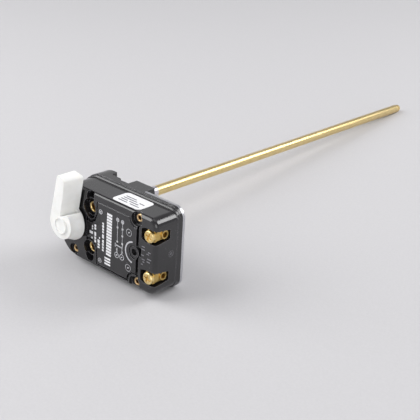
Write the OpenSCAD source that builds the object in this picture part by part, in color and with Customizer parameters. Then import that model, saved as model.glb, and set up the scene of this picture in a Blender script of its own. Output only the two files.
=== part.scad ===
// Rod thermostat for a storage water heater: a moulded switch case with a setting knob,
// two screw terminals and two plug sockets, on a brass stem with an expansion rod inside.
// Millimetres. Origin on the stem axis at the rear face of the steel back plate.
// +X points to the terminal end, +Y along the stem, +Z up.

/* [Case] */
// Length of the case from the knob end to the terminal end
case_len = 73; // [68:0.5:90]
// Height of the front moulding
case_h = 41.6; // [40:0.2:48]
// Depth from the rear of the back plate to the front face
case_depth = 20; // [19:0.5:26]
// Distance from the stem axis to the knob end of the case
stem_inset = 12; // [11.5:0.5:14]
// How far the centre line of the case lies below the stem axis
case_drop = 1.1; // [0.8:0.1:1.4]
// Corner radius at the knob end
corner_knob_r = 13.5; // [10:0.5:16]
// Corner radius at the terminal end
corner_end_r = 5; // [3:0.5:7]
// Rounding of the front edges
front_r = 2.2; // [1:0.2:2.8]
// Outer wall of the mouldings
wall = 2.5; // [2:0.1:3]
// Thickness of the front wall
front_wall = 4.5; // [4.2:0.1:5]
// Thickness of the floor of the rear moulding
base_floor = 1.5; // [1.2:0.1:2]
// Distance of the joint between the mouldings from the back plate's rear
seam_y = 5.2; // [4.8:0.1:6]
// How far the rear moulding stands out beyond the front one
ledge = 1.6; // [1:0.1:2]
// Thickness of the steel back plate
plate_t = 1.5; // [1:0.1:2]

/* [Front face] */
// Height of the printed panel over the face round it
panel_rise = 0.5; // [0.3:0.1:0.8]
// Left edge of the panel above and below its tongue
panel_x = 18.4; // [18.2:0.1:18.8]
// Left edge of the panel's tongue
tongue_x = 10.6; // [10:0.1:12]
// Distance of the panel's upper edge from the upper side of the case
panel_top_inset = 4.2; // [3.2:0.1:5.2]
// Distance of the panel's lower edge from the lower side of the case
panel_bottom_inset = 2.9; // [2.8:0.1:3.4]
// Centre of the upright groove between panel and terminal end
groove_x = 48.2; // [47.9:0.1:48.6]
// Width of the upright groove
groove_w = 2; // [1.4:0.1:2.4]
// Depth of the upright groove
groove_depth = 2.4; // [2:0.1:2.6]
// Width of the narrow groove along the panel's left edge
edge_groove = 1.5; // [1.3:0.1:1.6]
// Diameter of the round well at each socket
recess_d = 9.2; // [9:0.1:9.3]
// Depth of the socket mouths behind the front face
recess_depth = 2.8; // [2:0.1:3]
// Depth of the deep wells at the upper and lower sides
lobe_depth = 5.5; // [5:0.1:5.8]

/* [Poles] */
// Distance of each pole from the upper or lower side of the case
pole_inset = 9.4; // [9.2:0.1:9.8]
// Distance of the sockets from the stem axis
socket_x = 12.2; // [12:0.1:12.4]
// Outer diameter of the sockets
socket_d = 5.8; // [5.6:0.1:6]
// Bore of the sockets
socket_bore = 4; // [3.6:0.1:4.4]
// Length of the sockets
socket_len = 10; // [9:0.2:11]
// Distance of the terminal screws from the terminal end
screw_inset = 4.2; // [4:0.1:5]
// Diameter of the terminal screw heads
screw_head_d = 6.4; // [6:0.1:6.7]
// Thickness of the terminal screw heads
screw_head_t = 2; // [1.4:0.1:2.4]
// Diameter of the terminal screw shanks
screw_d = 3.6; // [3:0.1:4]
// Height of the terminal windows at the corner of the case
window_h = 7.6; // [7.5:0.1:8]
// How far the middle of the windows lies below the screws
window_drop = 0.2; // [0:0.1:0.3]
// Reach of the windows from the terminal end along the front
window_w = 10.2; // [10:0.1:10.4]
// Reach of the windows from the front face along the end
window_depth = 10; // [9:0.1:11]

/* [Rivets] */
// Distance of the right rivets from the stem axis
rivet_right_x = 47.1; // [47:0.1:47.3]
// Distance of the left rivets from the stem axis
rivet_left_x = -0.8; // [-1.2:0.1:0]
// Distance of the right rivets from the upper or lower side of the case
rivet_right_inset = 3; // [3:0.1:3.4]
// Distance of the left rivets from the upper or lower side of the case
rivet_left_inset = 3.8; // [3.6:0.1:4.2]
// Body diameter of the tubular rivets
rivet_d = 3.4; // [3:0.1:3.6]
// Bore of the tubular rivets
rivet_bore = 2.2; // [1.8:0.1:2.4]
// Head diameter of the tubular rivets
rivet_head_d = 4.4; // [4:0.1:4.8]

/* [Stem] */
// Outer diameter of the stem tube
stem_d = 6; // [5.5:0.1:7]
// Wall of the stem tube
stem_wall = 0.6; // [0.5:0.05:0.8]
// Length of the stem from the back plate to the tip
stem_len = 300; // [200:5:450]
// Diameter of the expansion rod
rod_d = 3; // [2.5:0.1:3.5]
// Length of the plated sleeve on the stem's root
sleeve_len = 39.5; // [20:0.5:60]
// Wall of the plated sleeve
sleeve_wall = 0.4; // [0.4:0.05:0.6]
// How deep the sleeve sits in the stem
sleeve_sink = 0.2; // [0.2:0.01:0.22]

/* [Knob] */
// Distance of the knob axis from the stem axis
knob_x = 0.8; // [0.6:0.1:1]
// Height of the knob axis above the stem axis
knob_z = 0.3; // [0:0.1:0.6]
// Diameter of the knob's rim
hub_d = 21; // [19:0.2:21.4]
// Diameter of the knob's front disc
disc_d = 16.8; // [15.6:0.2:17.4]
// Diameter of the raised boss on the knob
boss_d = 9.2; // [8.4:0.2:9.6]
// Reach of the knob's lever from the knob axis
lever_reach = 27.6; // [24:0.2:29]
// Height of the knob over the front face
knob_h = 9.9; // [9.5:0.1:12]
// Gap between the knob and the front face
knob_gap = 0.6; // [0.4:0.1:1]
// Distance of the knob's rim from the front face
rim_lift = 2.5; // [2:0.1:3]
// Diameter of the spindle in the knob
spindle_d = 5.4; // [5.2:0.1:5.6]
// Diameter of the spindle where it runs in the front wall
journal_d = 5.2; // [4.8:0.1:5.4]
// Diameter of the spindle's screw end
screw_end_d = 4.8; // [4.4:0.1:5]

/* [Switch] */
// Thickness of the contact blades
blade_t = 0.4; // [0.3:0.05:0.5]
// Width of the contact blades
blade_w = 4.6; // [4:0.1:4.6]
// Diameter of the contacts
contact_d = 3.6; // [3:0.1:4]
// Play left where a spring keeps two pieces together
play = 0.35; // [0.32:0.01:0.4]
// Radial clearance of shafts in their bores
run_gap = 0.05; // [0.03:0.01:0.09]
// Clearance between neighbours that slide past each other
slide_gap = 0.15; // [0.12:0.01:0.25]

/* [Hidden] */
$fn = 64;
eps = 0.01;

// Case planes
x_left = -stem_inset;
x_right = case_len - stem_inset;
half_h = case_h / 2;
pole_z = half_h - pole_inset;
rivet_right_z = half_h - rivet_right_inset;
rivet_left_z = half_h - rivet_left_inset;
panel_top = half_h - panel_top_inset;
panel_bottom = half_h - panel_bottom_inset;
y_front = -case_depth;
y_seam = -seam_y;
y_plate = -plate_t;
y_chamber = y_front + front_wall;
y_floor = y_plate - base_floor;
seat_d = stem_d - 2 * sleeve_sink;
base_half_h = half_h + ledge;
rim_half_h = base_half_h - 0.5;
chamber_right = groove_x + 0.9;

// Rear towers: near the knob end and near the middle, with the rim between them
tower_y = 6;
tower1_x = 4.2;
tower2_x = 19.5;
tower2_w = 13.6;
tower_wall = 9;
rim_x = 12;
rim_y = 1.6;
rim_t = 2;

// Knob and spindle planes
knob_back = y_front - knob_gap;
knob_front = y_front - knob_h;
disc_back = knob_front + 1.5;
rim_back = y_front - rim_lift;
boss_front = knob_front - 0.8;
shelf_z = 4.1;
clip_t = 0.6;
clip_y = y_chamber + 0.1;
clip_groove_d = 4.2;
clip_d = 9;
nut_y0 = clip_y + clip_t + 2 * play;
nut_len = 3.8;
nut_w = 10;
nut_h = 9;
ridge_x = 5;
ridge_w = 1;

// Switch planes, from the front to the rear
blade_y = y_front + 7;
blade_back = blade_y + blade_t;
strap_t = 0.8;
contact_t = 0.75;
contact_gap = 0.05;
strip_y = blade_back + 2 * contact_t + contact_gap + 0.15;
strip_t = 0.8;
contact_x = 23.5;
blade_x0 = 21.3;
blade_root_x = groove_x - 0.7;
strip_x1 = contact_x + 1.8;
strap_x0 = blade_root_x - 3.5;
rocker_y = strip_y + strip_t + 0.9;
rocker_t = 1;
rocker_w = 6;
bridge_x = 27.3;
bridge_w = 2;
spring_x = 18.8;

// Terminals
screw_x = x_right - screw_inset;
head_y = y_front - 1;
washer_t = 0.8;
washer_y = head_y + screw_head_t;
barrel_d = 4.6;
barrel_y = y_front + 7.3;
barrel_x1 = x_right - 1;
barrel_bore = 3;
block_y = washer_y + washer_t + 0.3;
window_near_h = window_h - 2.1;
window_far_h = window_h - 2.8;
block_w = 5;
block_h = 4.8;

// Thermal cut-out and its reset button
button_x = 46.1;
button_z = -1.1;
button_d = 3.7;
button_recess = 1.8;
button_travel = 1.5;
flange_d = 5.4;
flange_t = 0.8;
seat_y = y_front + 8.6;
seat_t = 0.7;
seat_w = 4.6;
seat_h = 10;
seat_leg = 1.4;
trip_travel = 0.9;
trip_x = 34;
trip_w = 2;
disc_x = 36.5;
disc_r = 7;
carrier_y = y_floor - 3.9;
bow_r = 44;
disc_t = 0.3;
disc_y = carrier_y + 0.9;
disc_seat_y = disc_y + bow_r - sqrt(pow(bow_r - disc_t, 2) - pow(disc_r, 2));

// Tongue of the panel and length of the upright groove
tongue_low = 9.8;
tongue_high = 9;
groove_low = 16.2;
groove_high = 14;

// Blank label
label_x = 25.7;
label_w = 20;
label_y = -17.6;
label_h = 11.9;
label_t = 0.15;

// Turns a shape drawn along +Z so that it points along +Y
module along_y() {
    rotate([-90, 0, 0]) children();
}

// Round bar along +Y between two depths
module rod_y(x, z, d, y0, y1) {
    translate([x, y0, z]) along_y() cylinder(d = d, h = y1 - y0);
}

// Flat outline in X and Z, extruded between two depths
module sheet_y(y0, y1) {
    translate([0, y1, 0]) rotate([90, 0, 0]) linear_extrude(height = y1 - y0) children();
}

// Four posts at the corner centres of the case outline, drawn in by an inset
module corner_posts(half, r_knob, r_end, inset, y0, y1) {
    for (side = [-1, 1]) {
        rod_y(x_left + r_knob, side * (half - r_knob), 2 * (r_knob - inset), y0, y1);
        rod_y(x_right - r_end, side * (half - r_end), 2 * (r_end - inset), y0, y1);
    }
}

// Places children at the upper (1) or lower (-1) pole
module at_pole(side) {
    translate([0, 0, -case_drop + side * pole_z]) children();
}

// Moves children from the case's centre line to the stem axis frame
module in_case() {
    translate([0, 0, -case_drop]) children();
}

// Centres of the four rivets
rivet_places = [[rivet_right_x, rivet_right_z - 0.3], [rivet_right_x - 0.4, -rivet_right_z - 0.3],
    [rivet_left_x, rivet_left_z], [rivet_left_x, -rivet_left_z]];
rivet_seat_y = y_front + 2.6;
rivet_boss_d = rivet_d + 2.2;

// Centre and diameter of the recesses round the rivets; two rounds each make the right ones oval
rivet_recesses = [
    [rivet_right_x - 0.6, rivet_right_z - 0.8, 7.4], [rivet_right_x + 0.5, rivet_right_z - 0.6, 7.4],
    [rivet_right_x - 1.3, -rivet_right_z - 0.7, 7], [rivet_right_x + 0.1, -rivet_right_z - 0.5, 7],
    [rivet_left_x, rivet_left_z, 6.8], [rivet_left_x, -rivet_left_z, 6.8]];

// Centre and diameter of the main wells
wells = [[socket_x - 0.6, pole_z + 0.2, recess_d], [socket_x - 0.7, -pole_z - 0.1, recess_d - 0.5]];

// Centre, diameter and depth of the three rounds beside them
lobes = [[socket_x, 17.4, 5.8, lobe_depth], [socket_x - 0.2, -16, 6.2, lobe_depth],
    [socket_x + 0.3, 8.9, 6.6, recess_depth + 1.6]];
ridge = 0.4;

// Outer block of the front moulding with rounded front edges
module front_block() {
    hull() {
        corner_posts(half_h, corner_knob_r, corner_end_r, 0, y_front + front_r, y_seam);
        for (a = [10:10:90])
            corner_posts(half_h, corner_knob_r, corner_end_r, front_r * (1 - cos(a)),
                y_front + front_r * (1 - sin(a)), y_front + front_r * (1 - sin(a)) + eps);
    }
}

// Outline of the raised panel on the front face, grown at its left edge by a gap
module panel_outline(gap) {
    difference() {
        union() {
            translate([panel_x - gap, -panel_bottom - gap])
                square([groove_x - panel_x + gap, panel_bottom + panel_top + gap]);
            translate([tongue_x - gap, -tongue_low])
                square([groove_x - tongue_x + gap, tongue_low + tongue_high]);
        }
        for (side = [-1, 1])
            translate([socket_x, side * pole_z + 0.3]) circle(d = recess_d + 2 * edge_groove - 0.2 - 2 * gap);
        translate([lobes[2][0], lobes[2][1]]) circle(d = lobes[2][2] + 2 * edge_groove + 0.8 - 2 * gap);
        translate([rivet_right_x - 0.2, rivet_right_z - 0.6]) circle(d = 10.6);
        translate([rivet_right_x - 0.8, -rivet_right_z - 0.4]) circle(d = 11.2 - 1.6 * gap);
    }
}

// Wells round the sockets: a main round at each pole, three rounds beside them and a notch in the edge
module socket_wells() {
    for (p = wells)
        rod_y(p[0], p[1], p[2], y_front - 1, y_front + recess_depth + 1.6);
    for (p = lobes)
        rod_y(p[0], p[1], p[2], y_front - 1, y_front + 2.2);
    rod_y(socket_x, 18.2, 5.4, y_front - 1, y_front + 2.2);
    translate([socket_x, y_front - 1, 17]) cube([2.8, 3.2, 5]);
    difference() {
        for (p = lobes)
            rod_y(p[0], p[1], p[2], y_front, y_front + p[3]);
        for (p = wells)
            rod_y(p[0], p[1], p[2] + 2 * ridge, y_front - 1, y_front + lobe_depth + 1);
    }
    for (side = [-1, 1])
        rod_y(socket_x, side * pole_z, socket_d + 2 * run_gap, y_front - 1, y_front + lobe_depth + 2.2);
}

// Terminal window that wraps the corner between front face and end
module terminal_window(side) {
    x0 = x_right - window_w;
    y1 = y_front + window_depth;
    translate([0, 0, side * pole_z - window_drop])
    intersection() {
        sheet_y(y_front - 1, y1)
            polygon([[x0, -window_near_h / 2], [x0 + 2.8, -window_h / 2], [x_right + 1, -window_h / 2],
                [x_right + 1, window_h / 2], [x0 + 2.8, window_h / 2], [x0, window_near_h / 2]]);
        translate([x0 - 1, 0, 0]) rotate([90, 0, 90]) linear_extrude(height = window_w + 3)
            polygon([[y_front - 2, -window_h / 2], [y_front, -window_h / 2], [y1 + 1, -window_far_h / 2],
                [y1 + 1, window_far_h / 2], [y_front, window_h / 2], [y_front - 2, window_h / 2]]);
    }
}

// Slot through the partition for a terminal strap
module strap_slot(side) {
    translate([chamber_right - 1, blade_back - slide_gap, side * pole_z - blade_w / 2 - slide_gap])
        cube([screw_x - chamber_right + 4, strap_t + slide_gap, blade_w + 2 * slide_gap]);
}

// Switch chamber inside the front moulding, with solid corners round the rivets and behind the wells
module chamber() {
    difference() {
        hull() {
            for (side = [-1, 1]) {
                rod_y(x_left + corner_knob_r, side * (half_h - corner_knob_r),
                    2 * (corner_knob_r - wall), y_chamber, y_seam + 1);
                rod_y(chamber_right - 1, side * (half_h - wall - 1), 2, y_chamber, y_seam + 1);
            }
        }
        for (p = rivet_places)
            rod_y(p[0], p[1], rivet_boss_d, y_chamber - 1, y_seam + 2);
        for (p = wells)
            rod_y(p[0], p[1], p[2] + 2.4, y_chamber - 1, y_front + recess_depth + 2.8);
        for (p = lobes)
            rod_y(p[0], p[1], p[2] + 2.4, y_chamber - 1, y_front + p[3] + 1.2);
        for (side = [-1, 1])
            translate([ridge_x - 8, y_chamber - 1, knob_z + case_drop + side * (nut_h / 2 + slide_gap + 0.8)])
                translate([0, 0, -0.8]) cube([8, 5, 1.6]);
    }
}

// Front moulding: knob bearing, panel, windows and recesses
module front_housing() {
    color("#2b2a2c")
    in_case()
    difference() {
        front_block();
        sheet_y(y_front - 1, y_front + panel_rise)
            difference() {
                translate([x_left - 1, -half_h - 1]) square([groove_x - x_left + 1, case_h + 2]);
                panel_outline(0);
            }
        sheet_y(y_front - 1, y_front + 1.8)
            difference() {
                panel_outline(edge_groove);
                panel_outline(0);
            }
        difference() {
            union() {
                translate([groove_x - groove_w / 2, y_front - 1, -groove_low])
                    cube([groove_w, groove_depth + 1, groove_low + groove_high]);
                translate([groove_x - groove_w / 2, y_front - 1, -2.1]) cube([3.9, groove_depth + 1, 4.8]);
            }
            rod_y(button_x, button_z, 6.4, y_front - 2, y_front + groove_depth + 1);
        }
        difference() {
            rod_y(button_x, button_z, 7.8, y_front - 1, y_front + 0.8);
            rod_y(button_x, button_z, 6.4, y_front - 2, y_front + 2);
        }
        rod_y(button_x, button_z, button_d + 2 * run_gap, y_front - 1, y_chamber + 1);
        rod_y(knob_x, knob_z + case_drop, journal_d + 2 * run_gap, y_front - 1, y_chamber + 1);
        socket_wells();
        for (side = [-1, 1]) {
            terminal_window(side);
            strap_slot(side);
        }
        for (p = rivet_recesses)
            rod_y(p[0], p[1], p[2], y_front - 1, rivet_seat_y);
        for (p = rivet_places)
            rod_y(p[0], p[1], rivet_d + 2 * run_gap, y_front, y_seam + 1);
        chamber();
        translate([x_right - 0.15, -9.1, 0.3]) rotate([0, 90, 0])
            difference() {
                cylinder(d = 3.6, h = 1);
                translate([0, 0, -1]) cylinder(d = 2.6, h = 3);
            }
    }
}

// Boxes that hold the rear towers, grown by a gap
module tower_boxes(gap) {
    for (side = [-1, 1]) {
        z0 = side > 0 ? base_half_h - tower_wall - gap : -base_half_h - 1;
        translate([x_left - 1, y_plate - 1, z0])
            cube([tower1_x - x_left + 1 + gap, tower_y - y_plate + 1, tower_wall + 1 + gap]);
        translate([tower2_x - gap, y_plate - 1, z0])
            cube([tower2_w + 2 * gap, tower_y - y_plate + 1, tower_wall + 1 + gap]);
    }
}

// Strips between the towers where the rim of the rear moulding laps the plate
module rim_strips(x1, y1, gap) {
    for (side = [-1, 1])
        translate([tower1_x - 1, y_plate - 1, side > 0 ? base_half_h - rim_t - gap : -base_half_h - 1])
            cube([x1 - tower1_x + 1, y1 - y_plate + 1, rim_t + 1 + gap]);
}

// Outline of the rear moulding, extruded between two depths
module base_block(y0, y1) {
    hull() corner_posts(base_half_h, corner_knob_r + 0.6, corner_end_r + 1, 0, y0, y1);
}

// Rear moulding: a shallow tray with a stepped rim, contact posts and two pairs of towers
module rear_base() {
    color("#2b2a2c")
    in_case()
    difference() {
        union() {
            hull() {
                corner_posts(rim_half_h, corner_knob_r + 0.4, corner_end_r + 0.6, 0.5, y_seam, y_seam + eps);
                corner_posts(rim_half_h, corner_knob_r + 0.4, corner_end_r + 0.6, 0,
                    y_seam + 0.5, y_seam + 1.8);
            }
            base_block(y_seam + 1.8, y_plate);
            intersection() {
                base_block(y_plate - 0.5, tower_y);
                union() {
                    tower_boxes(0);
                    rim_strips(tower2_x + 1, 0, 0);
                    rim_strips(rim_x, rim_y, 0);
                }
            }
        }
        difference() {
            hull()
                for (side = [-1, 1]) {
                    rod_y(x_left + corner_knob_r, side * (half_h - corner_knob_r),
                        2 * (corner_knob_r - wall), y_seam - 1, y_floor);
                    rod_y(chamber_right - 1, side * (half_h - wall - 1), 2, y_seam - 1, y_floor);
                }
            for (p = rivet_places)
                rod_y(p[0], p[1], rivet_boss_d, y_seam - 2, y_floor + 1);
        }
        for (p = rivet_places)
            rod_y(p[0], p[1], rivet_d + 2 * run_gap, y_seam - 1, tower_y + 1);
        for (i = [2, 3])
            rod_y(rivet_places[i][0], rivet_places[i][1], rivet_head_d + 1.6, 0, tower_y + 1);
        rod_y(0, case_drop, seat_d + 2 * run_gap, y_seam, tower_y);
        rod_y(0, case_drop, stem_d + 3 + 2 * run_gap, y_floor - 1, y_plate + 1);
    }
    color("#2b2a2c")
    for (side = [-1, 1])
        at_pole(side)
            translate([socket_x + socket_d / 2 + 0.6, strip_y + strip_t, -2])
                cube([strip_x1 - socket_x - socket_d / 2 - 0.6, y_floor - strip_y - strip_t + 0.5, 4]);
}

// Steel back plate, cut out round the rear towers and the lapping rim
module back_plate() {
    color("#c9cbce")
    in_case()
    difference() {
        base_block(y_plate, 0);
        tower_boxes(slide_gap);
        rim_strips(tower2_x + 1, 1, slide_gap);
        for (i = [0, 1])
            rod_y(rivet_places[i][0], rivet_places[i][1], rivet_d + 2 * run_gap, y_plate - 1, 1);
        rod_y(0, case_drop, seat_d + 2 * run_gap, y_plate - 1, 1);
    }
}

// Ring or tube round the Y axis between two depths
module tube_y(d_out, d_in, y0, y1) {
    difference() {
        rod_y(0, 0, d_out, y0, y1);
        rod_y(0, 0, d_in, y0 - 1, y1 + 1);
    }
}

// Stem: a brass tube with a collar that seats behind the back plate
module stem_tube() {
    color("#c9a24b")
    difference() {
        union() {
            rod_y(0, 0, seat_d, y_floor - 1.5, sleeve_len + 1);
            rod_y(0, 0, stem_d, sleeve_len, stem_len - 4.2);
            rod_y(0, 0, stem_d + 3, y_plate - 1, y_plate);
        }
        rod_y(0, 0, stem_d - 2 * stem_wall, y_floor - 2.5, stem_len);
    }
}

// Turned tip plug: a shank in the tube, a neck and a rounded head
module stem_plug() {
    shank_r = stem_d / 2 - stem_wall;
    color("#b98f3f")
    along_y()
    rotate_extrude()
    union() {
        translate([0, stem_len - 11]) square([shank_r, 7]);
        translate([0, stem_len - 4.1]) square([shank_r - 0.4, 1]);
        translate([0, stem_len - 3.6]) square([shank_r + 0.2, 2.2]);
        translate([0, stem_len - 1.5]) square([shank_r - 0.9, 1.5]);
        intersection() {
            translate([0, stem_len - 1.4]) circle(r = 1.4);
            square([2, stem_len]);
        }
        intersection() {
            translate([shank_r - 1.2, stem_len - 1.4]) circle(r = 1.4);
            translate([0, stem_len - 2]) square([shank_r + 1, 2]);
        }
    }
}

// Plated sleeve over the root of the stem
module stem_sleeve() {
    color("#cfcdd2") tube_y(seat_d + 2 * sleeve_wall, seat_d, 0, sleeve_len);
}

// Expansion rod inside the stem, from the rocker to the tip plug
module expansion_rod() {
    color("#a9a8a4") rod_y(0, 0, rod_d, rocker_y + rocker_t + play, stem_len - 11 - 0.5);
}

// Round part of the knob: front disc, a cone that widens to the rim, and a neck behind it
module knob_round() {
    rod_y(0, 0, disc_d, knob_front, disc_back);
    translate([0, disc_back, 0]) along_y() cylinder(d1 = disc_d, d2 = hub_d, h = rim_back - 0.9 - disc_back);
    rod_y(0, 0, hub_d, rim_back - 0.9, rim_back);
    rod_y(0, 0, hub_d - 5, rim_back - 1, knob_back);
}

// Front outline of the lever, from its left foot over the tip to its right foot
module lever_front() {
    top = lever_reach;
    polygon([[-0.49 * disc_d, 1.9], [-2.9, top - 2.8], [-2.5, top - 1.7], [-1.7, top - 1], [-0.8, top - 0.9],
        [2.4, top - 3.1], [2.8, top - 3.8], [1.5, top / 2], [-0.3, 6], [-0.9, 3.4], [-2, 0]]);
}

// Rear outline of the lever, wider on its right side
module lever_rear() {
    top = lever_reach;
    polygon([[-0.5 * disc_d, 1], [-4.6, top - 7.6], [-3.4, top - 3], [-2.4, top - 1.4], [-0.9, top - 0.5],
        [0.7, top], [5.9, top - 0.9], [7, top - 1.4], [7.3, top - 2.1], [5.7, 0.62 * top], [3.7, 7.2],
        [2.2, 0]]);
}

// Setting knob: a round body cut flat beside the lever, the lever, and a dished boss in front
module control_knob() {
    color("#f2f2f0")
    translate([knob_x, 0, knob_z])
    difference() {
        union() {
            difference() {
                knob_round();
                sheet_y(knob_front - 1, rim_back)
                    polygon([[-1.5, shelf_z - 0.5], [hub_d, shelf_z + 8.2], [hub_d, hub_d], [-1.5, hub_d]]);
            }
            hull() {
                sheet_y(knob_front, knob_front + 0.02) lever_front();
                sheet_y(knob_back - 0.02, knob_back) lever_rear();
            }
            rod_y(0.3, -0.7, boss_d, boss_front, knob_front + 1);
        }
        rod_y(0.3, -0.7, boss_d - 1.6, boss_front - 1, boss_front + 0.5);
        rod_y(0, 0, spindle_d + 0.04, knob_front + 1.6, knob_back + 1);
        difference() {
            rod_y(0, 0, hub_d - 8, rim_back + 0.5, knob_back + 1);
            rod_y(0, 0, spindle_d + 3, disc_back, knob_back + 2);
        }
    }
}

// Spindle: a seat in the knob, a journal in the front wall, a clip groove and a screw end
module knob_spindle() {
    color("#b9bcc0")
    translate([knob_x, 0, knob_z])
    difference() {
        union() {
            rod_y(0, 0, spindle_d, knob_front + 1.8, y_front - 0.1);
            rod_y(0, 0, journal_d, y_front - 0.2, clip_y);
            rod_y(0, 0, clip_groove_d, clip_y - 0.1, clip_y + clip_t + 0.1);
            rod_y(0, 0, screw_end_d, clip_y + clip_t, nut_y0 + nut_len - 0.3);
        }
    }
}

// Retaining clip that holds the spindle in the front wall
module spindle_clip() {
    color("#8d9094")
    translate([knob_x, 0, knob_z])
    difference() {
        rod_y(0, 0, clip_d, clip_y, clip_y + clip_t);
        rod_y(0, 0, clip_groove_d, clip_y - 1, clip_y + clip_t + 1);
        translate([-10, clip_y - 1, -1.6]) cube([10, clip_t + 2, 3.2]);
    }
}

// Nut that the screw end moves in and out, with a ridge for the rocker
module setting_nut() {
    color("#c8a556")
    difference() {
        union() {
            translate([knob_x - nut_w / 2, nut_y0, knob_z - nut_h / 2]) cube([nut_w, nut_len, nut_h]);
            translate([ridge_x - ridge_w / 2, nut_y0 + nut_len - 1, -nut_h / 2 + knob_z])
                cube([ridge_w, rocker_y - contact_gap - nut_y0 - nut_len + 1, nut_h]);
        }
        rod_y(knob_x, knob_z, screw_end_d + 2 * run_gap, nut_y0 - 1, nut_y0 + nut_len + 3);
    }
}

// Rocker: a steel strip that turns on the nut's ridge
module rocker() {
    color("#b4b7ba")
    in_case()
    difference() {
        translate([-4, rocker_y, -rocker_w / 2]) cube([bridge_x + bridge_w / 2 + 4, rocker_t, rocker_w]);
        translate([spring_x, rocker_y + rocker_t - 0.3, 0]) along_y() cylinder(d = 3, h = 1);
    }
}

// Insulating bridge on the rocker's end, level with both blades
module switch_bridge() {
    color("#7a4a2a")
    in_case()
    difference() {
        translate([bridge_x - bridge_w / 2, blade_back + play, -pole_z - 2.4])
            cube([bridge_w, rocker_y + rocker_t + 0.8 - blade_back - play, 2 * pole_z + 4.8]);
        translate([bridge_x - bridge_w, rocker_y, -rocker_w / 2]) cube([2 * bridge_w, rocker_t, rocker_w]);
    }
}

// Points of a ring of a coil's wire at a turn t
function coil_ring(r, wire, len, turns, t, sides) =
    [for (k = [0:sides - 1])
        let (a = 360 * t, b = 360 * k / sides)
        [(r + wire / 2 * cos(b)) * cos(a), wire / 2 + (len - wire) * t / turns + wire / 2 * sin(b),
            -(r + wire / 2 * cos(b)) * sin(a)]];

// Compression spring along +Y from the origin
module coil_spring(r, wire, len, turns) {
    sides = 6;
    steps = turns * 16;
    points = [for (s = [0:steps]) each coil_ring(r, wire, len, turns, s / 16, sides)];
    walls = [for (s = [0:steps - 1], k = [0:sides - 1])
        [s * sides + k, (s + 1) * sides + k, (s + 1) * sides + (k + 1) % sides, s * sides + (k + 1) % sides]];
    caps = [[for (k = [0:sides - 1]) k], [for (k = [sides - 1:-1:0]) steps * sides + k]];
    polyhedron(points = points, faces = concat(walls, caps), convexity = 10);
}

// Spring that keeps the rocker against the rod and the ridge
module rocker_spring() {
    color("#9da0a3")
    in_case()
    translate([spring_x, rocker_y + rocker_t + play, 0])
        coil_spring(2.2, 0.5, y_floor - rocker_y - rocker_t - play, 4);
}

// Contact blade from its root near the terminal to the moving contact
module blade(side) {
    color("#c27a4a")
    at_pole(side)
    difference() {
        union() {
            translate([contact_x, blade_y, -blade_w / 2]) cube([blade_root_x - contact_x, blade_t, blade_w]);
            rod_y(contact_x, 0, blade_w, blade_y, blade_back);
        }
        translate([blade_root_x - 12, blade_y - 1, -0.8]) cube([6, 3, 1.6]);
    }
}
module blade_upper() { blade(1); }
module blade_lower() { blade(-1); }

// Moving contact on the blade's rear side
module moving_contact(side) {
    color("#d9d9dc")
    at_pole(side) rod_y(contact_x, 0, contact_d - 0.2, blade_back, blade_back + contact_t);
}
module moving_contact_upper() { moving_contact(1); }
module moving_contact_lower() { moving_contact(-1); }

// Fixed contact on the strip's front side
module fixed_contact(side) {
    color("#d9d9dc")
    at_pole(side) rod_y(contact_x, 0, contact_d, blade_back + contact_t + contact_gap, strip_y);
}
module fixed_contact_upper() { fixed_contact(1); }
module fixed_contact_lower() { fixed_contact(-1); }

// Strip that joins the socket to the fixed contact
module fixed_strip(side) {
    color("#cfa65a")
    at_pole(side)
    difference() {
        union() {
            translate([socket_x, strip_y, -blade_w / 2]) cube([strip_x1 - socket_x, strip_t, blade_w]);
            rod_y(socket_x, 0, socket_d + 2, strip_y, strip_y + strip_t);
        }
        rod_y(socket_x, 0, socket_d, strip_y - 1, strip_y + strip_t + 1);
    }
}
module fixed_strip_upper() { fixed_strip(1); }
module fixed_strip_lower() { fixed_strip(-1); }

// Plug socket: a turned tube with a chamfered mouth and a blind bore
module socket(side) {
    y0 = y_front + recess_depth;
    color("#d2a857")
    at_pole(side)
    difference() {
        rod_y(socket_x, 0, socket_d, y0, y0 + socket_len);
        rod_y(socket_x, 0, socket_bore, y0 - 1, y0 + socket_len - 1.2);
        translate([socket_x, y0 - eps, 0]) along_y()
            cylinder(d1 = socket_bore + 0.8, d2 = socket_bore - 0.02, h = 0.42);
    }
}
module socket_upper() { socket(1); }
module socket_lower() { socket(-1); }

// Terminal: a strap to the blade, a square block for the screw and a cross barrel for the wire
module terminal(side) {
    color("#cfa45c")
    at_pole(side)
    difference() {
        union() {
            translate([strap_x0, blade_back, -blade_w / 2]) cube([screw_x - strap_x0, strap_t, blade_w]);
            translate([screw_x - block_w / 2, block_y, -block_h / 2])
                cube([block_w, blade_back + 0.4 - block_y, block_h]);
            translate([screw_x - 2.4, barrel_y, 0]) rotate([0, 90, 0])
                cylinder(d = barrel_d, h = barrel_x1 - screw_x + 2.4);
        }
        translate([screw_x, barrel_y, 0]) rotate([0, 90, 0]) cylinder(d = barrel_bore, h = 10);
        rod_y(screw_x, 0, screw_d - 0.6 + 2 * run_gap, block_y - 1, blade_back - 0.4);
    }
}
module terminal_upper() { terminal(1); }
module terminal_lower() { terminal(-1); }

// Square clamping washer under the screw head, with rounded corners
module clamp_washer(side) {
    color("#cda55f")
    at_pole(side)
    difference() {
        intersection() {
            translate([screw_x - 3, washer_y, -3]) cube([6, washer_t, 6]);
            rod_y(screw_x, 0, 7.4, washer_y - 1, washer_y + washer_t + 1);
        }
        rod_y(screw_x, 0, screw_d + 0.2, washer_y - 1, washer_y + washer_t + 1);
    }
}
module clamp_washer_upper() { clamp_washer(1); }
module clamp_washer_lower() { clamp_washer(-1); }

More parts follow.
